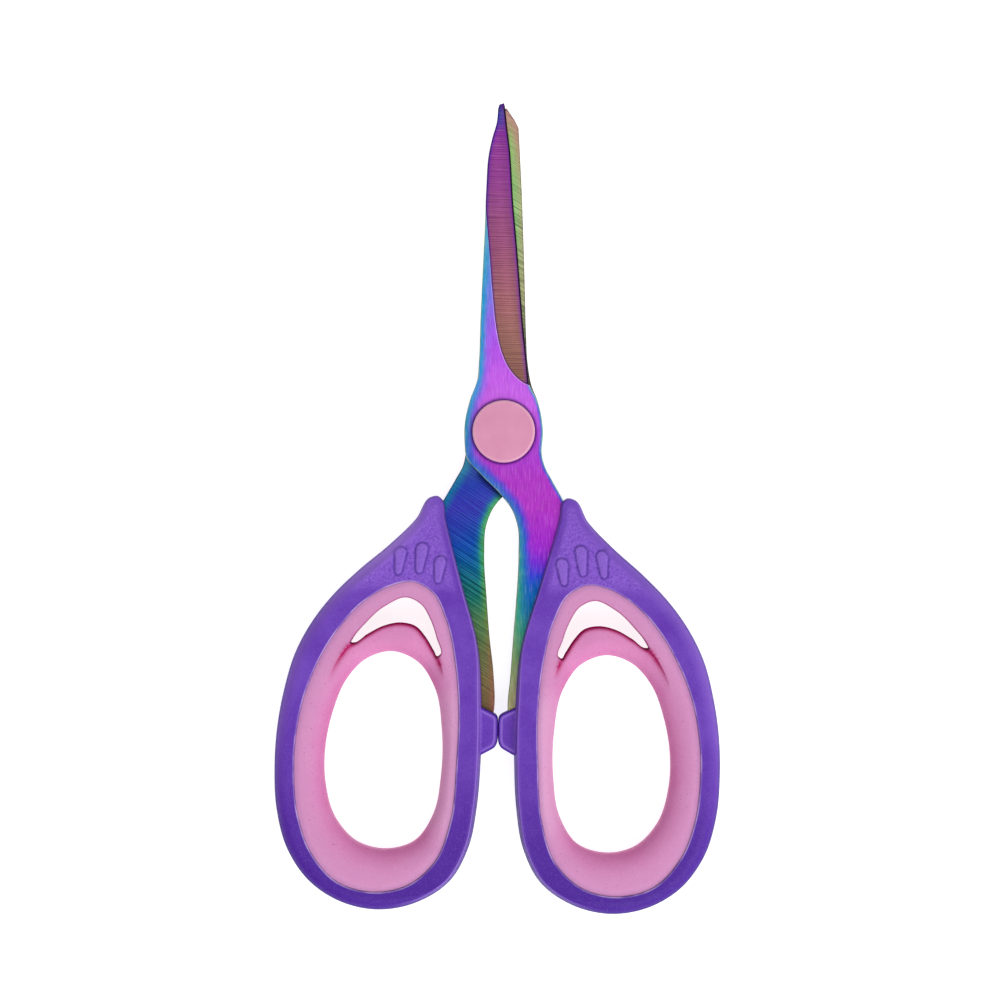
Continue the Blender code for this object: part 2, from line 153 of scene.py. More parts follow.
# The arch's upper edge, with the creases that run on past the crescent's two horns
ARCH = [
    (35.3, -53), (33.2, -47.9), (30.7, -44.4), (30, -43.9), (27.1, -42), (23.8, -40.2),
    (20.3, -39.5), (17.3, -40.2), (15.2, -42.4), (13.5, -45.1), (12.7, -46.3), (11.9, -48.3),
    (11.2, -51.2)]
STOP = [
    (5.2, -57), (4.6, -55.9), (3.5, -56.3), (0.25, -57.9), (0.002, -58.5), (0.002, -63.2),
    (0.5, -64.5), (3.4, -66.1), (4.6, -66.6), (5.2, -65.5)]
# Teardrops: centre, width and length
DROPS = [((20.7, -26.75), 2.35, 5.6), ((16.4, -26.1), 2.45, 6.2), ((12.6, -28.4), 2.35, 5.5)]
DROPS_WITHIN = ((16.5, -27), 9)  # a centre, and how far from it they all are at the most
DROP_LEAN = 0.11
DROP_END = 0.29  # radius of a drop's narrow end, as a share of its width

FRONT_TIP = [(-1, 66.4), (-1.2, 67.2), (-2.15, 66.9), (-2.4, 66.1)]
FRONT_SPINE = [
    (-2.4, 66.1), (-2.6, 63.4), (-3.5, 59.9), (-4.15, 56.5), (-4.5, 50), (-4.65, 42),
    (-4.95, 32), (-5.2, 22), (-5.35, 14), (-5.65, 10.3), (-7, 6.4), (-8, 1.5), (-7.95, -2.6),
    (-7.6, -5.2)]
FRONT_EDGE = [
    (4.95, 9.8), (4.4, 15), (3.6, 21.5), (3.05, 27), (2.1, 37), (1.02, 47.2), (0.2, 57.5),
    (-0.65, 63.6), (-1, 66.4)]
REAR_TIP = [(1, 66), (0.7, 66.2), (-1, 63.8), (-1.85, 62.2)]
REAR_SPINE = [
    (-1.85, 62.2), (-2.15, 58), (-2.7, 50), (-3.25, 40), (-3.75, 30), (-4.2, 20), (-4.65, 14),
    (-5.5, 9.6), (-6.9, 6.2), (-7.9, 1.5), (-7.8, -2.6), (-7.5, -5.2)]
REAR_EDGE = [
    (5.2, 9.8), (4.9, 15), (4.5, 20), (3.9, 27), (3.1, 37), (2.4, 47), (1.8, 57), (1.3, 62.5),
    (1, 66)]
LOWER_BOSS = [(-4.4, -9), (-0.5, -12.8), (2, -16), (3.2, -19.3), (3.5, -25)]
FRONT_TANG = [(3.2, -34.5), (2.8, -41), (2.3, -50), (1.9, -57), (2.4, -60.5)]
REAR_TANG = [(2.85, -34), (2.1, -42), (1.1, -50), (0.9, -57), (1.6, -60.5)]
TANG_END = [(3.9, -61.4), (5.2, -60.6)]
TANG_BACK = [(5.8, -55), (6.9, -45), (9.4, -36), (12.9, -27.5), (14.2, -21)]
FRONT_SHANK = [
    (13.5, -16), (12.3, -13.6), (10.1, -9.8), (8.6, -7.1), (7.9, -4.6), (8.05, 0), (7.1, 5.4),
    (4.95, 9.8)]
REAR_SHANK = [
    (13, -16), (11.7, -13.6), (9.6, -9.8), (8.2, -7.1), (7.7, -4.6), (7.8, 0), (6.9, 5.6),
    (5.2, 9.8)]
GRIND_LINE = [
    (-7, 75), (-5.4, 56), (-4.5, 44.7), (-3.7, 37), (-2.7, 26.8), (-1.9, 20.8),
    (-0.8, 16.3), (1.2, 12.4), (3.7, 10.1), (6.6, 9)]


# ---- plane geometry ----

def curve(points, closed=False):
    """Points along a smooth curve that passes through all the given ones."""
    knots = np.array(points, float)
    if closed:
        knots = np.vstack([knots[-1], knots, knots[:2]])
    else:
        knots = np.vstack([2 * knots[0] - knots[1], knots, 2 * knots[-1] - knots[-2]])
    found = []
    for a, b, c, d in zip(knots, knots[1:], knots[2:], knots[3:]):
        before, span, after = (math.dist(p, q) for p, q in ((a, b), (b, c), (c, d)))
        leave = (b - a) * span / before * span + (c - b) * before
        reach = (c - b) * after + (d - c) * span / after * span
        leave, reach = leave / (before + span), reach / (span + after)
        for t in np.arange(SPAN_STEPS) / SPAN_STEPS:
            found.append((2 * t**3 - 3 * t**2 + 1) * b + (t**3 - 2 * t**2 + t) * leave
                         + (3 * t**2 - 2 * t**3) * c + (t**3 - t**2) * reach)
    if not closed:
        found.append(knots[-2])
    return np.array(found)


def spaced(line, step, closed=False):
    """The same line in near-equal steps. A closed one doesn't repeat its first point."""
    if closed:
        line = np.vstack([line, line[:1]])
    run = np.concatenate([[0], np.cumsum(np.linalg.norm(np.diff(line, axis=0), axis=1))])
    at = np.linspace(0, run[-1], max(2, round(run[-1] / step)) + 1)
    made = np.column_stack([np.interp(at, run, line[:, k]) for k in range(2)])
    return made[:-1] if closed else made


def circle(radius, count):
    turn = 2 * math.pi * np.arange(count) / count
    return radius * np.column_stack([np.cos(turn), np.sin(turn)])


def softened(loop, passes):
    """A closed loop with its corners rounded by averaging each point with its neighbours."""
    for _ in range(passes):
        loop = loop / 2 + (np.roll(loop, 1, axis=0) + np.roll(loop, -1, axis=0)) / 4
    return loop


def ease(low, high, x):
    """0 up to low, 1 from high on, and a smooth rise between them."""
    t = np.clip((x - low) / (high - low), 0, 1)
    return t * t * (3 - 2 * t)


def fade(low, high, x):
    return 1 - ease(low, high, x)


def bell(x, width):
    return np.exp(-(x / width)**2)


def inset(loop, distance):
    """A loop moved towards its inside, or outwards where the distance is negative."""
    after, before = np.roll(loop, -1, axis=0), np.roll(loop, 1, axis=0)
    turn = np.sign(np.sum(loop[:, 0] * after[:, 1] - loop[:, 1] * after[:, 0]))
    tangent = after - before
    inward = np.column_stack([-tangent[:, 1], tangent[:, 0]]) * turn
    inward /= np.linalg.norm(inward, axis=1)[:, None]
    return loop + inward * np.broadcast_to(distance, len(loop))[:, None]


def insets(loop, *distances):
    return [inset(loop, distance) for distance in distances]


def beside(line, *shifts):
    """Copies of an open line, each moved to its left by one of the shifts."""
    along = np.gradient(line, axis=0)
    left = np.column_stack([-along[:, 1], along[:, 0]])
    left /= np.linalg.norm(left, axis=1)[:, None]
    return [line + left * shift for shift in shifts]


def measure(points, line, closed=False):
    """For each point: distance to a line, side of it (1 is its left), and run along it."""
    line = np.asarray(line, float)
    start = line if closed else line[:-1]
    step = (np.roll(line, -1, axis=0) if closed else line[1:]) - start
    length = np.linalg.norm(step, axis=1)
    before = np.concatenate([[0], np.cumsum(length)[:-1]])
    found = []
    for k in range(0, len(points), 800):
        reach = points[k:k + 800, None] - start[None]
        t = np.clip((reach * step).sum(2) / length**2, 0, 1)
        square = ((reach - t[:, :, None] * step)**2).sum(2)
        best = square.argmin(1)
        row = np.arange(len(best))
        near = reach[row, best]
        turn = step[best, 0] * near[:, 1] - step[best, 1] * near[:, 0]
        found.append(np.column_stack([np.sqrt(square[row, best]), np.sign(turn),
                                      before[best] + t[row, best] * length[best]]))
    return np.vstack(found).T


def to_loop(points, loop):
    """Each point's distance to a closed loop."""
    return measure(points, loop, closed=True)[0]


def to_curve(points, knots):
    return measure(points, curve(knots))[0]


def inside(points, loops):
    """Which points lie within the loops, where a loop in a loop is a hole."""
    odd = np.zeros(len(points), bool)
    for loop in loops:
        a, b = loop, np.roll(loop, -1, axis=0)
        rise = b[:, 1] - a[:, 1]
        rise[rise == 0] = 1e-12
        for k in range(0, len(points), 2000):
            u, v = points[k:k + 2000, 0, None], points[k:k + 2000, 1, None]
            spans = (a[:, 1] > v) != (b[:, 1] > v)
            left = u < a[:, 0] + (v - a[:, 1]) * (b[:, 0] - a[:, 0]) / rise
            odd[k:k + 2000] ^= (spans & left).sum(1) % 2 == 1
    return odd


def far(points, others, gap):
    """Which points are at least a gap away from all the others."""
    keep = np.ones(len(points), bool)
    for k in range(0, len(points), 400):
        near = ((points[k:k + 400, None] - others[None])**2).sum(2).min(1)
        keep[k:k + 400] = near >= gap * gap
    return keep


def scatter(loops, rows, step):
    """Loose points within the loops: the rows given, then a grid wherever they leave room."""
    taken = np.vstack(loops)
    fixed = len(taken)
    for row in rows:
        row = row[inside(row, loops)]
        taken = np.vstack([taken, row[far(row, taken, 0.045)]])
    low, high = taken.min(0), taken.max(0)
    lines = np.arange(low[1], high[1], step * 0.87)
    grid = [(u + step / 2 * (k % 2), v) for k, v in enumerate(lines)
            for u in np.arange(low[0], high[0], step)]
    grid = np.array(grid)
    grid = grid[inside(grid, loops)]
    grid = grid[far(grid, taken, step * 0.62)]
    return np.vstack([taken[fixed:], grid])


def triangulate(loops, loose):
    """Triangles between the loops, through every loose point."""
    points = np.vstack(loops + [loose])
    edges, start = [], 0
    for loop in loops:
        count = len(loop)
        edges += [(start + k, start + (k + 1) % count) for k in range(count)]
        start += count
    made = delaunay_2d_cdt([Vector(p) for p in points], edges, [], 0, 1e-6)
    if len(made[0]) != len(points):
        raise ValueError(f"{len(made[0])} points came from {len(points)}")
    source = np.array([origin[0] for origin in made[3]])
    corners = source[np.array([face[:3] for face in made[2]])]
    return corners[inside(points[corners].mean(1), loops)]


# ---- solids ----

def rounded(radius, steps):
    """Insets and drops down a rounded edge, from the face to the wall."""
    turns = np.linspace(math.pi / 2, 0, steps + 1)
    return [(radius * (1 - math.cos(t)), radius * (1 - math.sin(t))) for t in turns]


def new_mesh(name, points, faces, side=1):
    """A closed mesh from points in millimetres about the pivot."""
    placed = (points * (side, 1, 1) + PIVOT) * MM
    mesh = bpy.data.meshes.new(name)
    mesh.from_pydata(placed.tolist(), [], faces)
    bm = bmesh.new()
    bm.from_mesh(mesh)
    bmesh.ops.recalc_face_normals(bm, faces=bm.faces)
    bm.to_mesh(mesh)
    bm.free()
    mesh.shade_smooth()
    made = bpy.data.objects.new(name, mesh)
    bpy.context.scene.collection.objects.link(made)
    return made


def level(z):
    """A height function that is the same everywhere."""
    return lambda points: np.full(len(points), z)


def build(name, side, rims, rows, step, top, bottom=None):
    """A solid between two height functions, or between one and its mirror image. Each rim is its
    loop, 1 for an outside or -1 for a hole, and the profiles of its upper and lower edges."""
    loops = [inset(loop, sign * upper[0][0]) for loop, sign, upper, _ in rims]
    guards = [inset(loop, sign * (upper[0][0] + 0.07)) for loop, sign, upper, _ in rims]
    loose = scatter(loops, guards + rows, step)
    triangles = triangulate(loops, loose)
    flat = np.vstack(loops + [loose])
    high = top(flat)
    low = bottom(flat) if bottom else -high
    points = [np.column_stack([flat, high]), np.column_stack([flat, low])]
    faces = triangles.tolist() + (triangles[:, ::-1] + len(flat)).tolist()
    count, start = 2 * len(flat), 0
    for loop, sign, upper, lower in rims:
        index = np.arange(len(loop))
        crest, foot = high[start + index], low[start + index]
        chain = [start + index]
        rings = [(distance, crest - drop) for distance, drop in upper[1:]]
        rings += [(distance, foot + drop) for distance, drop in lower[:0:-1]]
        for distance, z in rings:
            points.append(np.column_stack([inset(loop, sign * distance), z]))
            chain.append(count + index)
            count += len(loop)
        chain.append(len(flat) + start + index)
        for near, next_ring in zip(chain, chain[1:]):
            faces += np.column_stack([np.roll(near, 1), near, next_ring,
                                      np.roll(next_ring, 1)]).tolist()
        start += len(loop)
    return new_mesh(name, np.vstack(points), faces, side)


def turned(name, profile, closed=False):
    """A round piece about the pivot. A profile that isn't closed starts and ends on the axis."""
    turn = np.arange(TURN_STEPS) * 2 * math.pi / TURN_STEPS
    ring_points = profile if closed else profile[1:-1]
    points = [(r * math.cos(a), r * math.sin(a), z) for r, z in ring_points for a in turn]
    grid = np.arange(len(points)).reshape(len(ring_points), TURN_STEPS)
    faces = []
    pairs = list(zip(grid, grid[1:]))
    if closed:
        pairs.append((grid[-1], grid[0]))
    for near, next_ring in pairs:
        faces += np.column_stack([near, np.roll(near, -1), np.roll(next_ring, -1),
                                  next_ring]).tolist()
    if not closed:
        for ring, (_, z) in ((grid[0], profile[0]), (grid[-1], profile[-1])):
            points.append((0.0, 0.0, z))
            faces += [[ring[k - 1], ring[k], len(points) - 1] for k in range(TURN_STEPS)]
    return new_mesh(name, np.array(points), [list(map(int, face)) for face in faces])


def combine(body, tool, operation):
    """Joins a tool to a body or cuts it away, and keeps only the result."""
    step = body.modifiers.new(operation, "BOOLEAN")
    step.operation = operation
    step.solver = "EXACT"
    step.object = tool
    seen = body.evaluated_get(bpy.context.evaluated_depsgraph_get())
    mesh = bpy.data.meshes.new_from_object(seen)
    body.modifiers.clear()
    body.data = mesh
    bpy.data.objects.remove(tool, do_unlink=True)
    mesh.shade_smooth()


def local(piece, side):
    """A piece's points in millimetres about the pivot, mirrored back to the right-hand side."""
    mesh = piece.data
    flat = np.zeros(len(mesh.vertices) * 3)
    mesh.vertices.foreach_get("co", flat)
    return (flat.reshape(-1, 3) / MM - PIVOT) * (side, 1, 1)


def mark(piece, **marks):
    """Numbers at each point, which the piece's material reads by name."""
    for name, values in marks.items():
        layer = piece.data.attributes.new(name, "FLOAT", "POINT")
        layer.data.foreach_set("value", np.asarray(values, np.float32))


# ---- bows ----

def face_half(points):
    """Half the bow's thickness: full round the ring, less on the panel and out to the nose."""
    v = points[:, 1]
    out = np.clip((v - NOSE_START) / NOSE_RUN, 0, 1)
    return HALF - PANEL_DROP * ease(PANEL_START, PANEL_FULL + 0.5, v) - NOSE_DROP * out**1.5


def edge_shape(points):
    """How far each point is towards the outside of a bow, and the share of the full edge that
    there is room for."""
    outside = ease(8.0, 24.0, points[:, 0])
    limit = NOSE_EDGE_R + 0.15 * (NOSE_TOP - points[:, 1])
    limit = np.minimum(limit / OUTER_EDGE_R, 1) + (1 - outside) * np.minimum(limit / 1.3, 1)
    return outside, np.clip(limit, 0.1, 1)


def flank_width(points):
    """The flank's width as a share of its full one: it's steeper beside the panel."""
    return 1 - 0.5 * ease(-55.0, -42.0, points[:, 1])


def bow_profile(loop):
    """Insets and drops round a bow: a wide round edge on its outside, and towards the other
    handle a crest over a steep side wall that runs down to the steel."""
    outside, limit = edge_shape(loop)
    round_edge = rounded(OUTER_EDGE_R, len(FLANK) - 1)
    return [(limit * (outside * a[0] + (1 - outside) * b[0] * flank_width(loop)),
             limit * (outside * a[1] + (1 - outside) * b[1]))
            for a, b in zip(round_edge, FLANK)]


def drop_outline(centre, width, length):
    """A teardrop: a wide round top and a narrow round end, with near-straight sides."""
    wide, narrow = width / 2, width * DROP_END
    apart = length - wide - narrow
    lean = math.asin((wide - narrow) / apart)
    upper = np.linspace(-lean, math.pi + lean, 40)
    lower = np.linspace(math.pi + lean, 2 * math.pi - lean, 22)
    arcs = [(wide, length / 2 - wide, upper), (narrow, narrow - length / 2, lower)]
    points = np.vstack([np.column_stack([r * np.cos(a), at + r * np.sin(a)])
                        for r, at, a in arcs])
    points[:, 0] -= DROP_LEAN * points[:, 1]
    return softened(spaced(points + centre, 0.15, closed=True), 6)


BOW_CENTRE = (22.5, -55.0)
BOW_FIT = 0.998  # keeps the smooth loop within the CAD's box
BOW_LOOP = spaced(curve(BOW, closed=True), 0.28, closed=True)
BOW_LOOP = (BOW_LOOP - BOW_CENTRE) * BOW_FIT + BOW_CENTRE
BAND_LOOP = spaced(curve(BAND, closed=True), 0.36, closed=True)
HOLE_LOOP = spaced(curve(HOLE, closed=True), 0.36, closed=True)
CRESCENT_LOOP = spaced(curve(CRESCENT, closed=True), 0.2, closed=True)
ARCH_LINE = spaced(curve(ARCH), 0.25)
DROP_LOOPS = [drop_outline(*drop) for drop in DROPS]


def drop_depth(points):
    """How far inside the nearest teardrop each point is, and less than nothing outside."""
    centre, within = DROPS_WITHIN
    depth = np.full(len(points), -float(within))
    near = np.abs(points - centre).max(1) < within
    for loop in DROP_LOOPS:
        distance, side, _ = measure(points[near], loop, closed=True)
        depth[near] = np.maximum(depth[near], distance * side)
    return depth


def bow_height(points):
    """The upper face, with a slightly sunk panel and the raised teardrops on it."""
    depth = drop_depth(points)
    dome = 0.7 * ease(-0.06, 0.32, depth) + 0.3 * ease(0.1, 1.1, depth)
    sunk = ease(1.9, 2.9, to_loop(points, BOW_LOOP))
    sunk *= ease(PANEL_START, PANEL_FULL, points[:, 1])
    return (face_half(points) - PANEL_SUNK * sunk + DROP_RELIEF * dome
            - DROP_MOAT * bell(depth + 0.2, 0.16))


def tang_slot(outline, side):
    """The room that a bow leaves for the blade's tang."""
    ring = inset(outline, -TANG_GAP)
    ring = ring[ring[:, 1] < TANG_TOP]
    low, high = sorted((side * (BLADE_LIFT - TANG_GAP), side * (FACE + TANG_GAP)))
    count = len(ring)
    points = np.vstack([np.column_stack([ring, np.full(count, z)]) for z in (low, high)])
    walls = [[k, (k + 1) % count, count + (k + 1) % count, count + k] for k in range(count)]
    ends = [list(range(count)), list(range(count, 2 * count))]
    return new_mesh("slot", points, walls + ends, side)


STOP_LOOP = softened(spaced(np.array(STOP), 0.16, closed=True), 20)


def stop_block(side):
    soft = rounded(STOP_EDGE_R, 5)
    return build("stop", side, [(STOP_LOOP, 1, soft, soft)], insets(STOP_LOOP, 0.62, 0.8, 1.05),
                 0.6, level(STOP_HALF))


def bow(name, side, outline):
    profile, inner = bow_profile(BOW_LOOP), rounded(BAND_EDGE_R, 4)
    rows = insets(BAND_LOOP, -0.33, -0.42, -0.56)
    for loop in DROP_LOOPS:
        rows += insets(loop, -0.6, -0.42, -0.3, -0.2, -0.1, 0.0, 0.1, 0.2, 0.32, 0.5, 0.75)
    rims = [(BOW_LOOP, 1, profile, profile), (BAND_LOOP, -1, inner, inner)]
    made = build(name, side, rims, rows, 0.5, bow_height)
    combine(made, stop_block(side), "UNION")
    combine(made, tang_slot(outline, side), "DIFFERENCE")
    mark_bow(made, local(made, side))
    return made


def mark_bow(piece, points):
    """What a bow's colour follows. Its flank and crest are on the other handle's side.
    The outline, moat and contact marks place painted shade. The edge, flank, crest, rim and drop
    marks place painted light, and the panel mark places painted light as well as the panel's
    grain.
    """
    flat = points[:, :2]
    edge, stop_edge = to_loop(flat, BOW_LOOP), to_loop(flat, STOP_LOOP)
    outside, limit = edge_shape(flat)
    share = edge / (limit * flank_width(flat))
    in_stop = inside(flat, [inset(STOP_LOOP, -0.05)])
    on_stop = in_stop & (np.abs(points[:, 2]) < STOP_HALF + 0.02)
    on_stop &= (edge < 0.05) | ~inside(flat, [BOW_LOOP])
    bow_only = np.where(on_stop, 0, 1)
    depth = drop_depth(flat)
    mark(piece,
         edge=bow_only * outside * fade(0.2, 3.2, edge),
         outline=np.where(on_stop, fade(0.15, 0.5, stop_edge),
                          fade(0.1, 0.2 + 0.35 * outside, edge)),
         flank=bow_only * (1 - outside) * fade(0.5, 0.66, share),
         crest=np.where(on_stop, 0.8 * bell(stop_edge - 0.7, 0.2),
                        (1 - outside) * bell(share - 0.74, 0.13)),
         rim=fade(0.12, 0.36, to_loop(flat, BAND_LOOP)),
         drop=ease(-0.02, 0.2, depth) * (0.6 + 0.4 * bell(depth - 0.2, 0.18)),
         moat=bell(depth + 0.15, 0.2),
         panel=ease(1.0, 2.2, edge) * ease(PANEL_START, PANEL_FULL, flat[:, 1]),
         contact=in_stop * (flat[:, 0] < 0.5) * fade(0.05, 0.25, stop_edge))


# ---- finger rings ----

ARCH_LENGTH = np.linalg.norm(np.diff(ARCH_LINE, axis=0), axis=1).sum()


def below_arch(points):
    """How far below the arch line each point is, and the arch's strength there: full along the
    crescent, and fading out along each crease."""
    distance, side, run = measure(points, ARCH_LINE)
    return distance * side, ease(0, 10.5, run) * ease(0, 5.6, ARCH_LENGTH - run)


def ring_height(points):
    hole, band = to_loop(points, HOLE_LOOP), to_loop(points, BAND_LOOP)
    fall = np.minimum((hole + band) * 0.9, GRIP_ROUND)
    along = 1 - np.minimum(hole / fall, 1)
    high = GRIP_WALL + (GRIP_CREST - GRIP_WALL) * np.sqrt(1 - along**2)
    high -= GRIP_EDGE_DROP * fade(0, 1.3, band)
    below, strength = below_arch(points)
    lowered = ease(-0.22, 0.16, below) * bell(np.maximum(below, 0), 3.4)
    return high - ARCH_DROP * strength * lowered


def hole_profile():
    """Insets and drops down the finger hole's round side."""
    turns = np.radians([42, 34, 26, 18, 10, 4, 0])
    fall = np.minimum(to_loop(HOLE_LOOP, BAND_LOOP) * 0.9, GRIP_ROUND)
    rise = GRIP_CREST - GRIP_WALL
    return [(fall * (1 - math.cos(t)), rise * (math.sin(turns[0]) - math.sin(t))) for t in turns]


def finger_ring(name, side):
    wall, lip = hole_profile(), rounded(0.12, 3)
    arch_side = fade(0.1, 0.8, measure(CRESCENT_LOOP, ARCH_LINE)[0])
    slot = rounded(0.3 + 0.45 * arch_side, 6)
    rows = beside(ARCH_LINE, -0.3, -0.2, -0.1, -0.02, 0.06, 0.14, 0.25, 0.45)
    rows += insets(CRESCENT_LOOP, -0.95, -1.25)
    rows += [circle(r, count) + tip for tip in HORNS for r, count in HORN_ROWS]
    rows += insets(BAND_LOOP, 0.45, 0.75)
    rims = [(inset(BAND_LOOP, GRIP_GAP), 1, lip, lip), (HOLE_LOOP, -1, wall, wall),
            (CRESCENT_LOOP, -1, slot, slot)]
    made = build(name, side, rims, rows, 0.55, ring_height)
    mark_ring(made, local(made, side)[:, :2])
    return made


def mark_ring(piece, flat):
    """What a ring's colour follows. Across goes from 0 at the hole to 1 at the band.
    The slim and arch marks place painted light. The band mark places painted shade near the
    border, and the crease and slot marks place painted shade.
    """
    hole, band = to_loop(flat, HOLE_LOOP), to_loop(flat, BAND_LOOP)
    below, strength = below_arch(flat)
    crease = np.minimum(1.25 * strength, 1) * bell(below, np.where(below > 0, 0.6, 0.25))
    for tip in HORNS:
        crease = np.maximum(crease, np.exp(-((flat - tip)**2).sum(1) / HORN_R**2))
    mark(piece, across=hole / (hole + band), slim=fade(3.6, 5.0, hole + band), band=band,
         crease=crease, arch=strength * ease(-0.1, 0.2, below),
         slot=fade(0.05, 0.4, to_loop(flat, CRESCENT_LOOP)))


# ---- blades ----

def closed_outline(tip, spine, tang, shank, edge):
    """A blade's whole outline, from its tip down the spine and back up the shank."""
    inner = curve(spine + LOWER_BOSS + tang)
    outer = curve(TANG_END + TANG_BACK + shank)
    whole = np.vstack([tip[:-1], inner, outer, curve(edge)[1:-1]])
    dense = []
    for a, b in zip(whole, np.roll(whole, -1, axis=0)):
        pieces = max(1, round(math.dist(a, b) / 0.3))
        dense += [a + (b - a) * k / pieces for k in range(pieces)]
    return np.array(dense)


GRIND = spaced(curve(GRIND_LINE), 0.25)


def ground(points):
    """How far each point is past the grind line, and less than nothing on the flat."""
    distance, side, _ = measure(points, GRIND)
    return distance * side


def blade_face(points):
    past = np.clip(ground(points), 0, None)
    return FACE - GRIND_DEPTH * np.sin(np.minimum(past / GRIND_WIDTH, 1) * math.pi / 2)


def blade(name, side, outline_parts):
    outline = closed_outline(*outline_parts)
    hole = circle(SHANK_R + BORE_GAP, 48)
    rim, under = rounded(FACE_EDGE_R, 4), rounded(INNER_EDGE_R, 2)
    bore = rounded(BORE_EDGE_R, 2)
    rows = beside(GRIND, -0.12, -0.02, 0.05, 0.15, 0.4, 0.8)
    heights, edges = (blade_face, level(BLADE_LIFT)), (rim, under)
    if side < 0:
        heights = level(-BLADE_LIFT), lambda points: -blade_face(points)
        edges = [(FACE_EDGE_R, 0.0), (INNER_EDGE_R, 0.0)] + under[1:], rim
    rims = [(outline, 1, *edges), (hole, -1, bore, bore)]
    made = build(name, side, rims, rows, 0.6, *heights)
    mark_blade(made, local(made, side), outline_parts, side)
    return made


def mark_blade(piece, points, outline_parts, side):
    """What a blade's film follows. Only the rear tang has the shade beside the front blade."""
    flat = points[:, :2]
    _, spine, tang, shank, cutting = outline_parts
    near_side = to_curve(flat, spine + LOWER_BOSS + tang)
    mark(piece,
         edge=to_loop(flat, closed_outline(*outline_parts)),
         hue=np.minimum(near_side, 3.2 * to_curve(flat, TANG_BACK + shank)),
         near=near_side,
         cutting=to_curve(flat, cutting),
         ground=ground(flat),
         outer=ease(0.0, 0.25, np.abs(points[:, 2]) - BLADE_LIFT),
         shade=(side < 0) * bell(to_curve(flat * (side, 1), LOWER_BOSS[:4]), 0.9))


# ---- materials ----

def rgb(*levels):
    """A colour from screen levels of 0 to 255."""
    found = [level / 255 for level in levels]
    return [c / 12.92 if c <= 0.04045 else ((c + 0.055) / 1.055)**2.4 for c in found] + [1.0]


def add(tree, kind, inputs, **settings):
    """A new node's outputs. Its inputs, by name or number, are each set to a value or linked."""
    made = tree.nodes.new("ShaderNode" + kind)
    for name, value in settings.items():
        setattr(made, name, value)
    for key, value in inputs.items():
        if isinstance(value, bpy.types.NodeSocket):
            tree.links.new(value, made.inputs[key])
        else:
            made.inputs[key].default_value = value
    return made.outputs


